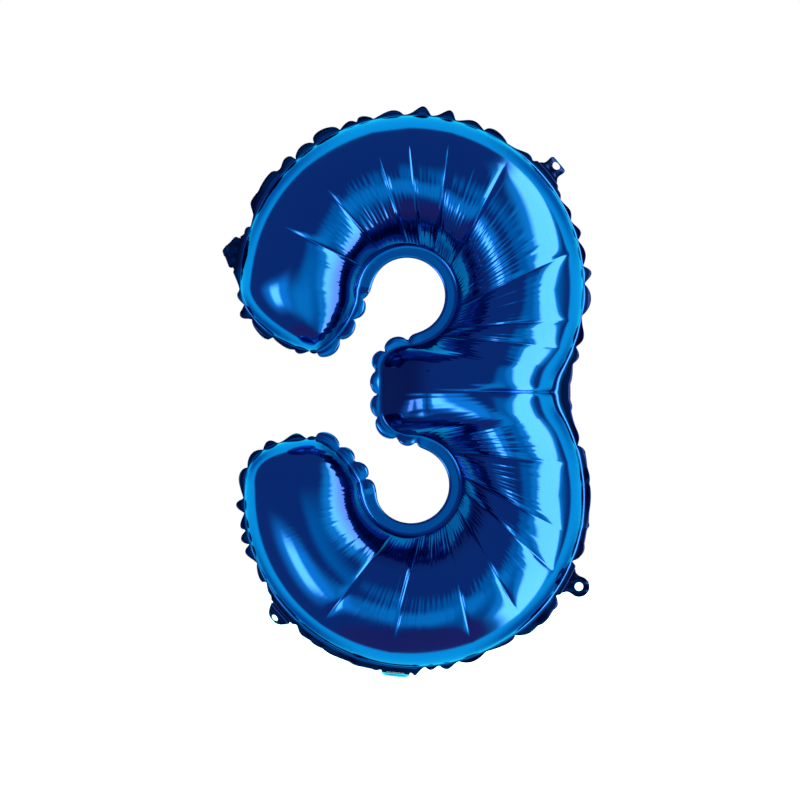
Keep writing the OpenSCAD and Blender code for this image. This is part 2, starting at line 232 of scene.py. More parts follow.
ROWS = 33
t_rows = 0.5 - 0.5 * np.cos(np.pi * np.linspace(0, 1, ROWS))      # closer together at both seams
t_rows = 0.6 * t_rows + 0.4 * np.linspace(0, 1, ROWS)
across_rows = t_rows[None, :, None]
flat = outer_seam[:, None] * (1 - across_rows) + inner_seam[:, None] * across_rows
coarse = np.concatenate([outer_seam[::5], inner_seam[::-5]])
inside = flat[:, 1:-1].reshape(-1, 2)
distance = np.zeros(flat.shape[:2])
distance[:, 1:-1] = soft_distance(inside, coarse).reshape(columns, ROWS - 2)
factor = CROWN_DEPTH / ((UPPER_R - HOLE_R) / (2 * np.sqrt(2))) ** SECTION_POWER
height = factor * distance ** SECTION_POWER
width = np.linalg.norm(outer_seam - inner_seam, axis=1)[:, None]
to_inner = (1 - t_rows)[None] * width
TAUT_FROM, TAUT_FULL = END + 40, END + 230     # columns over which the counters' weld grows taut
TAUT_REACH = 22 * MM                           # how far from the weld it is felt
taut = np.interp(np.arange(columns), [TAUT_FROM, TAUT_FULL, columns - 1 - TAUT_FULL,
                                      columns - 1 - TAUT_FROM], [0, 1, 1, 0])[:, None]
height *= 1 - taut + taut * 1.10 * (1 - np.exp(-to_inner / TAUT_REACH)) ** 0.6
print("crown height (mm):", round(float(height.max()) / MM, 1))

# %% [markdown]
# ## Pleats, creases and frills
# Film can't stretch, so where it has to be shorter it folds. All the folds of this balloon run
# across the stroke, and differ only in width, height and in how much of the stroke they cover.
# One function makes them all: it cuts the stroke's length into cells, and lifts each cell like a
# small cushion between two sharp valleys.

# %% One function for every kind of fold
def smooth(x):
    """0 below 0, 1 above 1 and an even S between."""
    x = np.clip(x, 0, 1)
    return x * x * (3 - 2 * x)


def cells(total, pitch, spread, rng):
    """The edges of cells that fill a length, each pitch wide give or take the share spread."""
    n = int(total / pitch)
    steps = 1 + spread * rng.uniform(-1, 1, n)
    return np.concatenate([[0], np.cumsum(steps)]) * total / steps.sum()


def in_cell(u, edges):
    """Which cell each place along a seam lies in, and how far through it that is, 0 to 1."""
    k = np.clip(np.searchsorted(edges, u, side="right") - 1, 0, len(edges) - 2)
    return k, np.clip((u - edges[k]) / (edges[k + 1] - edges[k]), 0, 1)


def pleats(u, t, edges, lift, first, last, soft, power):
    """lift * sin(pi x)^power in each cell, where x runs 0 to 1 over the cell, faded in from the
    share first of the stroke's width to the share last."""
    k, x = in_cell(u, edges)
    hump = (lift[k] * np.sin(np.pi * x) ** power)[:, None]
    fade = smooth((t[None] - first[k, None]) / soft) * smooth((last[k, None] - t[None]) / soft)
    return hump * fade


def crease(u, t, at, depth, half_width, first, last, soft):
    """A sharp valley across the stroke: depth * exp(-distance / half_width), faded at its ends."""
    notch = -depth * np.exp(-np.abs(u - at) / half_width)
    fade = smooth((t - first) / soft) * smooth((last - t) / soft)
    return notch[:, None] * fade[None]


def lobe_column(hole_c, angle):
    """The grid column that passes an angle round a counter, seen two fifths of the way across."""
    away = flat[:, ROWS * 2 // 5] - hole_c
    off = np.abs((np.degrees(np.arctan2(away[:, 1], away[:, 0])) - angle + 180) % 360 - 180)
    half = np.arange(columns) < middle
    return int(np.argmin(off + 1000 * (half != (hole_c is upper_hole_c))))


# Where the large creases run: angles round the two counters, and a place on the bar
UPPER_CREASES = [152, 128, 100, 87.6, 73.7, 51, 11.4, -11.8, -23.4]
LOWER_CREASES = [12.6, -13.4, -28, -47, -66.8, -95.8, -123]
BAR_FOLD_X = upper_c[0] + 5.1 * MM


def pillows(u, t, edges, rng):
    """Broad cushions between the creases: each cell is lifted by lift * sin(pi x)^0.5, and tilted
    across the stroke by twist * sin(2 pi t)."""
    n = len(edges) - 1
    lift = rng.uniform(0.6, 1.2, n) * MM
    twist = rng.choice([-1, 1], n) * rng.uniform(0.3, 1.1, n) * MM
    lift[[0, -1]] = 0.3 * MM
    twist[[0, -1]] = 0
    k, x = in_cell(u, edges)
    hump = (np.sin(np.pi * x) ** 0.5)[:, None]
    across = (smooth((t - 0.1) / 0.3) * smooth((1 - t) / 0.15))[None]
    return hump * (lift[k, None] * across + twist[k, None] * np.sin(2 * np.pi * t)[None] * across)


def folds(seed):
    """All the folds of one film, as a height for each grid point to add along the surface."""
    rng = np.random.default_rng(seed)
    total = np.zeros((columns, ROWS))
    marks = [lobe_column(upper_hole_c, a + rng.uniform(-1, 1)) for a in UPPER_CREASES]
    marks += [middle]
    marks += [lobe_column(lower_hole_c, a + rng.uniform(-1, 1)) for a in LOWER_CREASES]
    edges = np.concatenate([[0], u_mid[marks], [u_mid[-1]]])
    total += pillows(u_mid, t_rows, edges, rng)
    beside_bar = np.exp(-((u_mid - u_mid[middle]) / (26 * MM)) ** 2)[:, None]
    total += crease(u_mid, t_rows, u_mid[middle], 1.6 * MM, 3.2 * MM, -0.2, 0.5, 0.12)
    for at in edges[1:-1]:
        total += crease(u_mid, t_rows, at, rng.uniform(0.5, 0.95) * MM, 1.5 * MM,
                        rng.uniform(0.06, 0.16), 0.97, 0.14)
    total *= 1 - beside_bar * smooth((t_rows - 0.36) / 0.16)[None]
    # Fine pleats round the counters, and wider tucks among them: the pitch, the most lift, the
    # least share of it, the shares of the width they begin between, the fade and the power
    for pitch, most, least, begin, soft, power in [(1.7, 0.18, 0.4, (0.62, 0.82), 0.12, 0.9),
                                                   (4.6, 0.16, 0.2, (0.55, 0.75), 0.2, 0.8)]:
        edges = cells(u_inner[-1], pitch * MM, 0.4, rng)
        n = len(edges) - 1
        total += pleats(u_inner, t_rows, edges, most * MM * rng.uniform(least, 1, n),
                        rng.uniform(*begin, n), np.full(n, 1.02), soft, power)
    edges = cells(u_mid[-1], 2.7 * MM, 0.4, rng)                  # long fine lines over the crown
    n = len(edges) - 1
    wave = np.interp(np.arange(n), np.arange(0, n, 7), rng.uniform(0.35, 1, len(range(0, n, 7))))
    place = np.interp(edges[:-1], [0, u_mid[marks[0]], u_mid[marks[1]], u_mid[marks[-2]],
                                   u_mid[marks[-1]], u_mid[-1]], [0, 0, 1, 1, 0.1, 0])
    total += pleats(u_mid, t_rows, edges, 0.36 * MM * wave * place * rng.uniform(0.3, 1, n),
                    rng.uniform(0.24, 0.44, n), rng.uniform(0.75, 0.95, n), 0.12, 0.75)
    off_bar = np.abs(flat[..., 0] - BAR_FOLD_X) / (4 * MM)        # the fold across the middle bar
    near_bar = 1 - smooth((np.abs(flat[..., 1] - bar_mid[1]) - 14 * MM) / (6 * MM))
    total -= 2.0 * MM * np.exp(-off_bar) * near_bar
    edges = cells(u_outer[-1], 3.4 * MM, 0.5, rng)                # short pinches along the weld
    n = len(edges) - 1
    total += pleats(u_outer, t_rows, edges, 0.12 * MM * rng.uniform(0, 1, n) ** 2,
                    np.full(n, -0.2), rng.uniform(0.03, 0.1, n), 0.08, 0.8)
    return total


# %% [markdown]
# ## The seam margin
# Outside the weld both sheets go on for a few millimetres. Blowing the balloon up pulls the weld
# in, the margin has too much length and stands in frills. Round the counters it is the other way
# about: the margin is pulled tight and stays flat and smooth. Each frill is one cell, with its
# own width, height and lean, and the margin lies flat where a tab or the tail grows out of it.

# %% Margin rows outside both seams
MARGIN_ROWS = 4
MARGIN_SEED, FRONT_SEED, BACK_SEED = 11, 3, 5
ROOT_HALF, ROOT_FADE = 9.5 * MM, 3 * MM       # half a flap's root, and how soon the frill is back
rng = np.random.default_rng(MARGIN_SEED)
outer_way, inner_way = outwards(outer_seam, 1), outwards(inner_seam, -1)


def from_flap(name):
    """How far each point of the outer seam lies from the middle of a flap's root."""
    centre, radius = lobe_of(name)
    return np.linalg.norm(outer_seam - centre - radius * polar(FLAP_ANGLES[name]), axis=1)


def flap_calm():
    """0 beside the tabs and the tail and 1 away from them, for each column of the outer seam."""
    return np.min([smooth((from_flap(name) - ROOT_HALF) / ROOT_FADE) for name in FLAP_ANGLES], 0)


calm = flap_calm()
frill_edges = cells(u_outer[-1], 14.5 * MM, 0.45, rng)
n_frills = len(frill_edges) - 1
size = rng.uniform(2.2, 6.4, n_frills)
power = rng.uniform(0.35, 0.8, n_frills)               # round and flat-topped on the upper left
power[n_frills // 4:] = rng.uniform(0.6, 1.5, n_frills - n_frills // 4)       # then pointed
skew = rng.uniform(0.45, 2.2, n_frills)
size[n_frills // 4: 3 * n_frills // 4] *= 0.85
cell, x_cell = in_cell(u_outer, frill_edges)
hump = np.sin(np.pi * x_cell ** skew[cell])
mound = size[cell] * MM * hump ** power[cell]
FLAP_EDGE = FOLD_AT + 0.1 * MM
outer_width = 0.3 * MM + mound * calm + (FLAP_EDGE - 0.3 * MM) * (1 - calm)
WAIST_MARGIN, WAIST_SPREAD = 9.0 * MM, 24 * MM      # the margin is widest where it fills the waist
waist_share = np.exp(-((u_outer - u_outer[middle]) / WAIST_SPREAD) ** 2)
outer_width = outer_width * (1 - waist_share) + WAIST_MARGIN * waist_share
from_left_tab = from_flap("tab_left")          # the left tab has a pointed shoulder at each side
shoulder = 13 * MM * (1 - from_left_tab / (15.5 * MM)) * (from_left_tab > 9.4 * MM)
outer_width = np.maximum(outer_width, shoulder)


def lobe_share(centre, radius, first, last):
    """1 on the outer seam between two angles of a lobe, and 0 from 4 degrees outside them."""
    off = outer_seam - centre
    angle = np.degrees(np.arctan2(off[:, 1], off[:, 0]))
    on_lobe = np.abs(np.linalg.norm(off, axis=1) - radius) < 3 * MM
    return smooth((angle - first) / 4 + 1) * smooth((last - angle) / 4 + 1) * on_lobe


# Stretches where the cut margin is wider than a frill alone: where, from, to, and the least width
WIDE_MARGINS = [(lower_c, LOWER_R, -130, -103, 5.2), (lower_c, LOWER_R, -45, -38, 7.0),
                (lower_c, LOWER_R, -18, 13, 4.4), (upper_c, UPPER_R, 141, 152, 6.6)]
for centre, radius, first, last, least in WIDE_MARGINS:
    share = lobe_share(centre, radius, first, last) * calm
    jagged = least * (0.88 + 0.12 * hump) * MM
    outer_width = outer_width + np.maximum(jagged - outer_width, 0) * share
calm_lean = calm * (1 - waist_share)
lean = rng.uniform(0.3, 1.6, n_frills) * rng.choice([-1, 1], n_frills) * MM
outer_lean = lean[cell] * hump * calm_lean
place = np.arange(columns)
end_share = 1 - smooth((np.minimum(place, columns - 1 - place) - END + 10) / 30)
bar_share = 1 - smooth((np.abs(place - columns / 2) - 30) / 12)
loose = np.maximum(end_share, bar_share)
inner_edges = cells(u_inner[-1], 13.6 * MM, 0.2, rng)
n_inner = len(inner_edges) - 1
cell, x_cell = in_cell(u_inner, inner_edges)
dip = np.sin(np.pi * x_cell) ** 0.45           # 0 between two loose scallops and 1 on each
inner_width = INNER_MARGIN * (1 - loose * (0.8 - 0.72 * dip))
NECKS = [(-15.7, 244.9), (-22.7, 122.2)]       # x and z in mm where the inner margin is wider
for neck in NECKS:
    off = np.linalg.norm(inner_seam - np.array(neck) * MM, axis=1)
    inner_width = inner_width + 2.6 * MM * np.exp(-(off / (14 * MM)) ** 2)
lean = rng.uniform(0.5, 1.6, n_inner) * rng.choice([-1, 1], n_inner) * MM
inner_lean = lean[cell] * np.sin(np.pi * x_cell) * loose
inner_puff = 1.1 * MM * np.sin(np.pi * x_cell) * loose
outer_puff = 0.15 * MM * hump * calm_lean + 0.8 * MM * hump * end_share * calm_lean
print(n_frills, "frills; calm columns by the flaps:", int((calm < 0.5).sum()))

# %% [markdown]
# ## Putting one film together
# The film is a single grid: cut edge, margin, weld, over the crown, weld, margin, cut edge. Folds
# are added along the surface's own direction, found from its neighbours in the grid, so a pleat on
# the steep side pushes sideways as it does on the real one. The back film is the same sheet turned
# over, with folds of its own, and it shares the margin, because there the two are one.

# %% Build the films
def mesh_object(name, points, faces):
    """A smooth-shaded object at the origin from arrays of points and quads."""
    mesh = bpy.data.meshes.new(name)
    mesh.from_pydata(points.tolist(), [], faces.tolist())
    mesh.update()
    mesh.shade_smooth()
    obj = bpy.data.objects.new(name, mesh)
    bpy.context.scene.collection.objects.link(obj)
    return obj


def grid_faces(rows_a, rows_b, flip=False):
    """Quads that join a grid of rows_a by rows_b points, in the order the points are listed."""
    i, j = np.meshgrid(np.arange(rows_a - 1), np.arange(rows_b - 1), indexing="ij")
    a = (i * rows_b + j).ravel()
    quads = np.stack([a, a + rows_b, a + rows_b + 1, a + 1], 1)
    return quads[:, ::-1] if flip else quads


def grid_normals(p):
    """Unit vectors square to a grid surface: the cross product of its two directions."""
    n = np.cross(np.gradient(p, axis=0), np.gradient(p, axis=1))
    return n / np.maximum(np.linalg.norm(n, axis=2, keepdims=True), 1e-12)


FACE = WELD / 2 + FILM          # from the seam's plane to a film's outer face


def margin(seam, way, width, lean, puff, side, face):
    """Rows from a seam to its cut edge. Share s of the width out: moved outwards by s * width,
    towards +Y by lean * s^1.4, and away from the other film by puff * sin(pi s)."""
    share = np.linspace(0, 1, MARGIN_ROWS + 1)[1:][None]
    xz = seam[:, None] + way[:, None] * (width[:, None] * share)[..., None]
    y = lean[:, None] * share ** 1.4 + side * (face + puff[:, None] * np.sin(np.pi * share))
    return np.stack([xz[..., 0], y, xz[..., 1]], -1)


def tip_cap(chord, first, last, drop):
    """The margin past a blunt stroke end: rows of the chord moved along drop, and swelling out
    in the middle by 1 mm * sin(pi x), between the margins first and last at its two sides."""
    x = np.linspace(0, 1, len(chord))
    edge_y = first[:, 1][:, None] * (1 - x) + last[:, 1][:, None] * x
    share = np.linspace(0, 1, MARGIN_ROWS + 1)[1:][:, None]
    reach = np.linalg.norm(first[-1] - chord[0]) * (1 - x) + np.linalg.norm(last[-1] - chord[-1]) * x
    move = share * (reach + 1 * MM * np.sin(np.pi * x))
    rows = np.stack([chord[None, :, 0] + 0 * move, edge_y, chord[None, :, 2] + drop * move], -1)
    rows[:, 0], rows[:, -1] = first, last
    return np.concatenate([chord[None], rows])


def welded(parts):
    """One list of points, quads and shares from several grids. A part is a grid of points, whether
    its faces turn round, and each point's share: 0 to 1 out on the margin, 0 to -1 in the pleats
    round the counters. The foil paints shade by these shares, darker on the margin and in the
    pleats."""
    points, faces, shares, start = [], [], [], 0
    for grid, flip, share in parts:
        points.append(grid.reshape(-1, 3))
        shares.append(np.broadcast_to(share, grid.shape[:2]).ravel())
        faces.append(grid_faces(grid.shape[0], grid.shape[1], flip) + start)
        start += points[-1].shape[0]
    points, faces, shares = np.concatenate(points), np.concatenate(faces), np.concatenate(shares)
    _, first, same = np.unique(np.round(points / 1e-7).astype(int), axis=0,
                               return_index=True, return_inverse=True)
    return points[first], same.ravel()[faces], shares[first]


def sheet_parts(side, face, pillow):
    """The grids of a sheet: margins, whatever pillow lies between the seams, and both end caps."""
    puff = 1.0 if side else 0.0
    out = margin(outer_seam, outer_way, outer_width, outer_lean, outer_puff * puff, side, face)
    inn = margin(inner_seam, inner_way, inner_width, inner_lean, inner_puff * puff, side, face)
    seam_out = np.stack([outer_seam[:, 0], np.full(columns, side * face), outer_seam[:, 1]], -1)
    seam_in = np.stack([inner_seam[:, 0], np.full(columns, side * face), inner_seam[:, 1]], -1)
    flip = side > 0
    chord_a = seam_out[0] + (seam_in[0] - seam_out[0]) * t_rows[:, None]
    chord_b = seam_out[-1] + (seam_in[-1] - seam_out[-1]) * t_rows[:, None]
    edge = np.linspace(0, 1, MARGIN_ROWS + 1)
    caps = [(tip_cap(chord_a, out[0], inn[0], -1), not flip, edge[:, None]),
            (tip_cap(chord_b, out[-1], inn[-1], 1), flip, edge[:, None])]
    if pillow is None:
        return [(np.concatenate([out[:, ::-1], seam_out[:, None]], 1), flip, edge[::-1]),
                (np.concatenate([seam_in[:, None], inn], 1), flip, 0.0)] + caps
    # Shares down to -1 on the band of pleats next to the counters' weld, where the foil paints shade.
    pleat_shade = -smooth((t_rows - 0.70) / 0.14) * (t_rows < 1)
    shares = np.concatenate([edge[:0:-1], pleat_shade, np.zeros(MARGIN_ROWS)])
    return [(np.concatenate([out[:, ::-1], pillow, inn], 1), flip, shares)] + caps


def sheet_object(name, parts, thickness, offset):
    """A sheet object from its grids, with its thickness and a vertex attribute for the margin and the
    pleats, which tells the foil where to paint shade.
    """
    points, faces, shares = parts
    obj = mesh_object(name, points, faces)
    obj.data.attributes.new("edge", "FLOAT", "POINT").data.foreach_set("value", shares)
    wall = obj.modifiers.new("thickness", "SOLIDIFY")
    wall.thickness, wall.offset = thickness, offset
    return obj


def film(name, side, seed):
    """One film as an object, given its thickness by Solidify."""
    base = np.stack([flat[..., 0], side * (height + FACE), flat[..., 1]], -1)
    normal = grid_normals(base)
    normal *= np.sign(normal[..., 1:2].sum()) * side
    lift = folds(seed)
    print(name, "folds (mm):", round(float(np.ptp(lift)) / MM, 2))
    lift[:, [0, -1]] = 0
    lift[[0, -1]] = 0
    pillow = base + normal * lift[..., None]
    pillow[[0, -1], :, 1] = side * FACE
    return sheet_object(name, welded(sheet_parts(side, FACE, pillow)), FILM, -1)


front_film = film("front_film", -1, FRONT_SEED)
back_film = film("back_film", 1, BACK_SEED)
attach(front_film, "balloon")
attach(back_film, "balloon")
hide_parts("front_panel")
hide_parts("back_panel")
print("front film:", len(front_film.data.polygons), "quads before its thickness")

# %% [markdown]
# ## The weld, the tabs and the tail
# Between the two films the heated seam melts into one layer, which the cut margin follows. The
# hanging tabs are cut from the same double film. Each has a punched hole and narrow shoulders, and
# film this thin is never flat, so each tab is crumpled in its own way: one has both its sides
# folded behind it and shows as a point. A tab's crumple starts at its root line.

# %% Weld, tabs, tail and valve
def hinge_of(name):
    """The fold line's middle and the outward and sideways directions of a flap, in 3-D."""
    centre, radius = lobe_of(name)
    d = polar(FLAP_ANGLES[name])
    at = centre + (radius + FOLD_AT) * d
    return (np.array([at[0], 0, at[1]]), np.array([d[0], 0, d[1]]), np.array([-d[1], 0, d[0]]))


def tab_outline(n):
    """n points [a, b] round a tab from its hole's centre: a round end, flanks that curve in and
    out again to the root, and the root's straight line."""
    turn = np.radians(np.linspace(0, 100, 40))
    end = TAB_END_R / MM * np.stack([np.cos(turn), np.sin(turn)], 1)
    flank = bezier(end[-1], np.array([-3.6, 5.9]), np.array([-6.0, 6.3]), np.array([-7.5, 8.7]),
                   np.linspace(0, 1, 30)[1:])
    half = np.concatenate([end, flank, [[-8.7, 8.9]]])
    return even_steps(np.concatenate([half, (half * [1, -1])[::-1][:-1], half[:1]]), n)


def tab(name, crumple):
    """A tab: rings from the punched hole out to the outline, then crumpled out of its plane."""
    outline = tab_outline(180)
    size = np.linalg.norm(outline, axis=1, keepdims=True)
    share = np.linspace(0, 1, 12)[:, None, None]
    ring = outline[None] * ((TAB_HOLE_R / MM / size)[None] * (1 - share) + share)
    a, b, y = crumple(ring[..., 0], ring[..., 1])
    free = smooth((a + TAB_ROOT_MM) / 3)
    hinge, out, side = hinge_of(name)
    at = hinge + out * TAB_HOLE_AT
    points = at + (out * a[..., None] + side * b[..., None]) * MM
    points[..., 1] += y * free * MM + 0.18 * MM
    # Share 0.8 makes the foil paint the whole tab in the margin's painted shade.
    obj = sheet_object(name + "_film", welded([(points, False, 0.8)]), 0.36 * MM, -1)
    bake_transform(obj)
    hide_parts(name)
    return obj


def gentle(a, b):
    """A soft curl with two crinkles across it."""
    crinkles = 0.5 * np.sin(0.45 * a + 0.3 * b) + 0.25 * np.sin(1.1 * b - 0.5 * a)
    return a, b, crinkles - 0.01 * (a + TAB_ROOT_MM) ** 2


def rolled(a, b):
    """Rolled over behind as a round bump: 14 mm of film along the tab shows as 8.2 mm, by a sine,
    and what is lost in height goes behind, so the film keeps its length."""
    length, shown = 14, 8.2
    along = np.linspace(0, length, 200)
    slope = shown * np.pi / (2 * length) * np.cos(np.pi * along / (2 * length))
    behind = np.cumsum(np.sqrt(1 - slope ** 2)) * (along[1] - along[0])
    from_root = np.clip(a + TAB_ROOT_MM, 0, length)
    bent = (shown * np.sin(np.pi * from_root / (2 * length)) - TAB_ROOT_MM
            + np.minimum(a + TAB_ROOT_MM, 0))
    wide = np.interp(from_root, [0, 1.5, 3.9, 7.5, 10, 13, 14],
                     [0.95, 1.22, 1.2, 0.82, 0.6, 0.32, 0.3])
    return bent, b * wide, np.interp(from_root, along, behind)


def curled(a, b):
    """A curl away behind: the film turns from 20 degrees at the root to 90 degrees at the end."""
    along = np.linspace(0, 15, 200)
    turn = np.radians(20 + 70 * smooth((along - 6) / 8))
    reach = np.cumsum(np.cos(turn)) * (along[1] - along[0])
    behind = np.cumsum(np.sin(turn)) * (along[1] - along[0])
    from_root = np.maximum(a + TAB_ROOT_MM, 0)
    bent = np.interp(from_root, along, reach) - TAB_ROOT_MM + np.minimum(a + TAB_ROOT_MM, 0)
    return bent, b, np.interp(from_root, along, behind) + 0.2 * np.sin(0.9 * b)


def pointed(a, b):
    """Drawn wide at the neck, and folded back past two lines that meet in a point."""
    b = b * (1 + 0.55 * np.exp(-((a + 4.5) / 2.5) ** 2))
    over = np.maximum(a + 0.62 * np.abs(b) - 2.2, 0) / 1.177
    away = np.where(b < 0, -1, 1) * (np.abs(b) - 1.054 * over)
    return a - 1.7 * over, away, 0.3 * smooth(over / 0.4) + 0.12 * over + 0.2 * np.sin(0.9 * b)


tabs = [tab("tab_left", pointed), tab("tab_upper_right", curled),
        tab("tab_lower_left", rolled), tab("tab_lower_right", gentle)]

tail_hinge, tail_out, tail_side = hinge_of("tail")


def weld_band():
    """The melted layer: the margins' middle plane, open at the valve's channel."""
    points, faces, shares = welded(sheet_parts(0, 0.0, None))
    p = points[faces].mean(1) - tail_hinge
    on_channel = (np.abs(p @ tail_side) < 6 * MM) & (np.linalg.norm(p, axis=1) < 12 * MM)
    obj = sheet_object("weld_band", (points, faces[~on_channel], shares), WELD * 0.9, 0)
    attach(obj, "balloon")
    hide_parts("heat_seal")
    return obj


weld = weld_band()


def tail_tube():
    """A flat tube: round its section an oval 18 mm wide that opens a little towards the mouth,
    along its length folded back by 82 degrees at the root."""
    turn = np.linspace(0, 2 * np.pi, 97)
    start = -1.2                                # the tube starts a little inside its hinge
    along_tube = np.linspace(start, TAIL_L / MM, 40)
    u, v = np.meshgrid(along_tube, turn, indexing="ij")
    open_by = 0.17 + 0.9 * smooth((u - 3) / 12) + 0.12 * np.sin(1.3 * u + 3 * v) * smooth(u / 3)
    corner = np.maximum(u - (TAIL_L / MM - 4), 0) / 4
    half = TAIL_HALF_MM - 0.7 * corner ** 3
    b = half * np.sign(np.cos(v)) * np.abs(np.cos(v)) ** 0.6
    y = open_by * np.sin(v)
    bend = np.radians(TAIL_FOLD) * smooth((u + 0.5) / 2.5)
    dist = np.cumsum(np.cos(bend[:, :1]), 0) * (along_tube[1] - along_tube[0])
    rise = np.cumsum(np.sin(bend[:, :1]), 0) * (along_tube[1] - along_tube[0])
    a = dist - dist[0] + start - y * np.sin(bend)
    back = rise - rise[0] + y * np.cos(bend)
    points = tail_hinge + (tail_out * a[..., None] + tail_side * b[..., None]) * MM
    points[..., 1] += back * MM
    # Share 0.6 makes the foil paint the whole tail in the margin's painted shade.
    obj = sheet_object("tail_tube", welded([(points, True, 0.6)]), FILM, -1)
    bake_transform(obj)
    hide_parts("inflation_tail")
    return obj


tail = tail_tube()


def valve_film(name, side, node):
    """A strip of clear film 12 mm wide that runs in from the channel and gapes a little."""
    half, along_rows, across_rows = 5.8, 60, 24
    u, v = np.meshgrid(np.linspace(0.6, -55, along_rows), np.linspace(-half, half, across_rows),
                       indexing="ij")
    gape = 0.03 + 1.4 * smooth((-u - 10) / 35) * np.cos(v / half * np.pi / 2) ** 2
    points = tail_hinge + (tail_out * u[..., None] + tail_side * v[..., None]) * MM
    points[..., 1] += side * gape * MM
    obj = mesh_object(name, points.reshape(-1, 3),
                      grid_faces(along_rows, across_rows, flip=side < 0))
    wall = obj.modifiers.new("film", "SOLIDIFY")
    wall.thickness, wall.offset = 0.02 * MM, -1
    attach(obj, "balloon")
    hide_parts(node)
    return obj


valves = [valve_film("valve_front", -1, "valve_front_film"),
          valve_film("valve_back", 1, "valve_back_film")]
print("small pieces:", [o.name for o in (*tabs, weld, tail, *valves)])

# %% [markdown]
# ## The foil
# Metallised film is a mirror under a clear blue lacquer, so it is a metal with a deep blue colour
# and very little roughness, and nearly all of its look is what it reflects. A coat gives the
# lacquer's second, sharper gloss. A very fine noise on roughness keeps large calm areas from
# looking like glass. Shade is painted into the colour in two places: the outer margin, the tabs
# and the tail are a near-black navy for the dark room they reflect, and the band of pleats round
# the counters is a darker blue for the shade among them.

# %% Foil material
def foil_material():
    """A blue mirror: metal, slight uneven roughness, a faint grain and a clear coat, with painted
    shade: a darker base colour on the margins, tabs and tail, and in the pleats round the counters.
    """
    mat = bpy.data.materials.new("blue_foil")
    mat.use_nodes = True
    nodes, links = mat.node_tree.nodes, mat.node_tree.links
    shader = nodes["Principled BSDF"]
    shader.inputs["Metallic"].default_value = 1.0
    shader.inputs["Specular Tint"].default_value = (0.1, 0.8, 1.0, 1.0)
    shader.inputs["Coat Roughness"].default_value = 0.03
    edge = nodes.new("ShaderNodeAttribute")
    edge.attribute_name = "edge"
    # Painted shade: a near-black navy base colour on the outer margin, the tabs and the tail, for the
    # dark room they reflect.
    painted_margin_shade = nodes.new("ShaderNodeMix")
    painted_margin_shade.data_type = "RGBA"
    painted_margin_shade.inputs["B"].default_value = (0.007, 0.010, 0.07, 1)
    # Painted shade: a darker blue on the band of pleats round the counters, for the shade among them.
    shade, pleat_shade = nodes.new("ShaderNodeMix"), nodes.new("ShaderNodeMapRange")
    shade.data_type = "RGBA"
    shade.inputs["B"].default_value = (0.003, 0.030, 0.21, 1)
    pleat_shade.inputs["From Max"].default_value = -1
    place = nodes.new("ShaderNodeTexCoord")
    cloud = nodes.new("ShaderNodeTexNoise")
    cloud.inputs["Scale"].default_value = 14
    cloud.inputs["Detail"].default_value = 3
    tone = nodes.new("ShaderNodeValToRGB")
    tone.color_ramp.elements[0].color = (0.004, 0.095, 0.40, 1)
    tone.color_ramp.elements[1].color = (0.006, 0.125, 0.47, 1)
    rough = nodes.new("ShaderNodeMapRange")
    rough.inputs["To Min"].default_value = 0.06
    rough.inputs["To Max"].default_value = 0.12
    grain = nodes.new("ShaderNodeTexNoise")
    grain.inputs["Scale"].default_value = 420
    bump = nodes.new("ShaderNodeBump")
    bump.inputs["Strength"].default_value = 0.02
    bump.inputs["Distance"].default_value = 0.0002
    for texture in (cloud, grain):
        links.new(place.outputs["Object"], texture.inputs["Vector"])
    links.new(cloud.outputs["Fac"], tone.inputs["Fac"])
    reach = nodes.new("ShaderNodeMapRange")
    reach.inputs["From Max"].default_value = 0.35
    links.new(edge.outputs["Fac"], reach.inputs["Value"])
    links.new(reach.outputs["Result"], painted_margin_shade.inputs["Factor"])
    links.new(edge.outputs["Fac"], pleat_shade.inputs["Value"])
    links.new(pleat_shade.outputs["Result"], shade.inputs["Factor"])
    links.new(tone.outputs["Color"], shade.inputs["A"])
    links.new(shade.outputs["Result"], painted_margin_shade.inputs["A"])
    links.new(painted_margin_shade.outputs["Result"], shader.inputs["Base Color"])
    coat = nodes.new("ShaderNodeMapRange")
    coat.inputs["To Min"].default_value = 0.6
    coat.inputs["To Max"].default_value = 0.15
    links.new(reach.outputs["Result"], coat.inputs["Value"])
    links.new(coat.outputs["Result"], shader.inputs["Coat Weight"])
    links.new(cloud.outputs["Fac"], rough.inputs["Value"])
    links.new(rough.outputs["Result"], shader.inputs["Roughness"])
    links.new(grain.outputs["Fac"], bump.inputs["Height"])
    links.new(bump.outputs["Normal"], shader.inputs["Normal"])
    return mat


def clear_material():
    """Thin milky film: mostly clear, with a faint cloudiness."""
    mat = bpy.data.materials.new("clear_film")
    mat.use_nodes = True
    nodes, links = mat.node_tree.nodes, mat.node_tree.links
    shader = nodes["Principled BSDF"]
    shader.inputs["Roughness"].default_value = 0.25
    shader.inputs["Alpha"].default_value = 0.45
    place = nodes.new("ShaderNodeTexCoord")
    cloud = nodes.new("ShaderNodeTexNoise")
    cloud.inputs["Scale"].default_value = 60
    tone = nodes.new("ShaderNodeValToRGB")
    tone.color_ramp.elements[0].color = (0.62, 0.68, 0.72, 1)
    tone.color_ramp.elements[1].color = (0.80, 0.84, 0.88, 1)
    links.new(place.outputs["Object"], cloud.inputs["Vector"])
    links.new(cloud.outputs["Fac"], tone.inputs["Fac"])
    links.new(tone.outputs["Color"], shader.inputs["Base Color"])
    return mat


foil = foil_material()
clear = clear_material()
for obj in (front_film, back_film, weld, tail, *tabs):
    obj.data.materials.append(foil)
for obj in valves:
    obj.data.materials.append(clear)

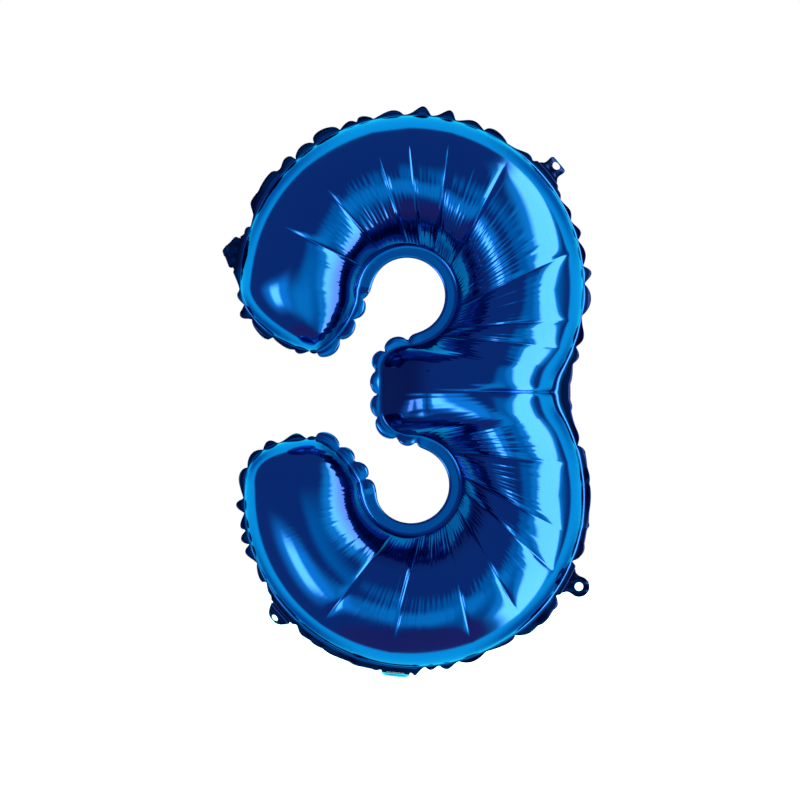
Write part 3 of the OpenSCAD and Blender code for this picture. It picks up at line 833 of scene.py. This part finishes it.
# %% [markdown]
# ## Stage, light and camera
# A mirror shows its room, so the room is the real lighting. The side behind the balloon is bright,
# which makes the glowing band where the film turns away, and the side it faces is dark, which
# makes the deep blue. Tall bright windows in that dark side draw the long highlights down the
# strokes. The one lamp above is hidden from the mirror, and lights only what is matt.

# %% Room, lamp, floor and camera
DARK_ROOM = (0.09, 0.16, 0.34)
IN_DEGREES = 57.29578     # degrees in a radian
FAN_LEAN = 0.7            # how much further right the right windows go, per degree up or down


def room():
    """World light by direction. azimuth 0 is towards -Y and 90 towards +X, elevation 90 is up.
    The camera itself sees plain white."""
    world = bpy.data.worlds.new("room")
    bpy.context.scene.world = world
    world.use_nodes = True
    nodes, links = world.node_tree.nodes, world.node_tree.links
    nodes.clear()

    def math(kind, a, b=None):
        node = nodes.new("ShaderNodeMath")
        node.operation = kind
        for k, value in enumerate((a, b)):
            if isinstance(value, (int, float)):
                node.inputs[k].default_value = value
            elif value is not None:
                links.new(value, node.inputs[k])
        return node.outputs[0]

    def step(value, start, stop):
        node = nodes.new("ShaderNodeMapRange")
        node.interpolation_type = "SMOOTHSTEP"
        node.inputs["From Min"].default_value = start
        node.inputs["From Max"].default_value = stop
        links.new(value, node.inputs["Value"])
        return node.outputs["Result"]

    def mix(under, colour, amount):
        node = nodes.new("ShaderNodeMix")
        node.data_type = "RGBA"
        node.inputs["B"].default_value = (*colour, 1)
        links.new(amount, node.inputs["Factor"])
        if isinstance(under, tuple):
            node.inputs["A"].default_value = (*under, 1)
        else:
            links.new(under, node.inputs["A"])
        return node.outputs["Result"]

    def patch(across, az, el):
        """1 inside a window of directions: it starts and is full, then starts to fade and is gone."""
        inside = math("MULTIPLY", step(across, az[0], az[1]), step(across, az[3], az[2]))
        tall = math("MULTIPLY", step(elevation, el[0], el[1]), step(elevation, el[3], el[2]))
        return math("MULTIPLY", inside, tall)

    way = nodes.new("ShaderNodeTexCoord")
    split = nodes.new("ShaderNodeSeparateXYZ")
    links.new(way.outputs["Generated"], split.inputs[0])
    x, y, z = split.outputs
    azimuth = math("MULTIPLY", math("ARCTAN2", x, math("MULTIPLY", y, -1.0)), IN_DEGREES)
    elevation = math("MULTIPLY", math("ARCSINE", z), IN_DEGREES)
    fan = math("SUBTRACT", azimuth, math("MULTIPLY", math("ABSOLUTE", elevation), FAN_LEAN))
    light = DARK_ROOM
    for colour, across, az, el in [
            ((0.0, 0.66, 0.80), azimuth, (-12, 8, 82, 96), (-75, -34, 6, 36)),
            ((0.1, 1.3, 1.3), fan, (12, 32, 76, 84), (-66, -50, 40, 60)),
            ((4.2, 5.2, 5.2), fan, (34, 44, 74, 77), (-58, -50, 46, 56)),
            ((0.05, 1.1, 1.15), azimuth, (-50, -5, 10, 40), (-60, -40, -28, -6)),
            ((0.1, 1.3, 1.5), azimuth, (-82, -60, -36, -18), (-52, -34, -18, -2)),
            ((4.0, 5.0, 5.0), azimuth, (-64, -58, -49, -43), (-42, -32, -20, -10))]:
        light = mix(light, colour, patch(across, az, el))
    light = mix(light, (0.25, 0.10, 0.26), step(elevation, -56, -66))
    light = mix(light, (0.05, 1.75, 1.60), step(y, 0.13, 0.20))
    behind = math("ABSOLUTE", azimuth)
    light = mix(light, (0.01, 0.45, 0.75), patch(behind, (100, 125, 132, 158), (0, 26, 34, 64)))
    light = mix(light, (0.01, 0.35, 0.65), patch(behind, (104, 130, 138, 164), (-66, -40, -26, 0)))
    light = mix(light, (1.0, 2.6, 2.6), step(y, 0.82, 0.97))
    glow, white = nodes.new("ShaderNodeBackground"), nodes.new("ShaderNodeBackground")
    seen, pick = nodes.new("ShaderNodeLightPath"), nodes.new("ShaderNodeMixShader")
    out = nodes.new("ShaderNodeOutputWorld")
    white.inputs["Color"].default_value = (1, 1, 1, 1)
    links.new(light, glow.inputs["Color"])
    links.new(seen.outputs["Is Camera Ray"], pick.inputs[0])
    links.new(glow.outputs[0], pick.inputs[1])
    links.new(white.outputs[0], pick.inputs[2])
    links.new(pick.outputs[0], out.inputs["Surface"])


HALF_HEIGHT = 0.18


def soft_box(name, azimuth, elevation, distance, size, power):
    """A rectangle of light that faces the balloon's middle: azimuth 0 is towards -Y, 90 is +X."""
    a, e = np.radians(azimuth), np.radians(elevation)
    target = np.array([0, 0, HALF_HEIGHT])
    at = target + distance * np.array([np.sin(a) * np.cos(e), -np.cos(a) * np.cos(e), np.sin(e)])
    lamp = bpy.data.lights.new(name, "AREA")
    lamp.shape, lamp.size, lamp.size_y, lamp.energy = "RECTANGLE", size[0], size[1], power
    obj = bpy.data.objects.new(name, lamp)
    bpy.context.scene.collection.objects.link(obj)
    obj.location = at
    obj.rotation_euler = Vector(target - at).to_track_quat("-Z", "Y").to_euler()
    obj.visible_camera = False
    obj.visible_glossy = False
    return obj


room()
soft_box("top_light", 0, 80, 1.6, (1.2, 0.8), 5)

FLOOR_HALF, FLOOR_Z = 1.6, -0.012
grid_side = np.linspace(-FLOOR_HALF, FLOOR_HALF, 3)
fx, fy = np.meshgrid(grid_side, grid_side, indexing="ij")
floor = mesh_object("floor", np.stack([fx, fy, np.full_like(fx, FLOOR_Z)], -1).reshape(-1, 3),
                    grid_faces(3, 3))
floor_mat = bpy.data.materials.new("pale_floor")
floor_mat.use_nodes = True
floor_shader = floor_mat.node_tree.nodes["Principled BSDF"]
floor_shader.inputs["Base Color"].default_value = (0.9, 0.9, 0.9, 1)
floor_shader.inputs["Emission Color"].default_value = (1, 1, 1, 1)
floor_shader.inputs["Emission Strength"].default_value = 1.0
floor.data.materials.append(floor_mat)
floor.visible_glossy = False

CAMERA_AWAY, SENSOR = 2.6, 36
FRAME_WIDTH = 508.8 * MM             # what the view takes in at the balloon's own distance
CAMERA_LEFT, CAMERA_DOWN = 7.6 * MM, 71.9 * MM      # from the upper lobe's centre
camera_data = bpy.data.cameras.new("camera")
camera_data.sensor_width = SENSOR
camera_data.lens = SENSOR * CAMERA_AWAY / FRAME_WIDTH
camera = bpy.data.objects.new("camera", camera_data)
bpy.context.scene.collection.objects.link(camera)
camera.location = (upper_c[0] - CAMERA_LEFT, -CAMERA_AWAY, upper_c[1] - CAMERA_DOWN)
camera.rotation_euler = (np.radians(90), 0, 0)
bpy.context.scene.camera = camera
bpy.context.scene.view_settings.view_transform = "Standard"
print("lens (mm):", round(camera_data.lens, 1))
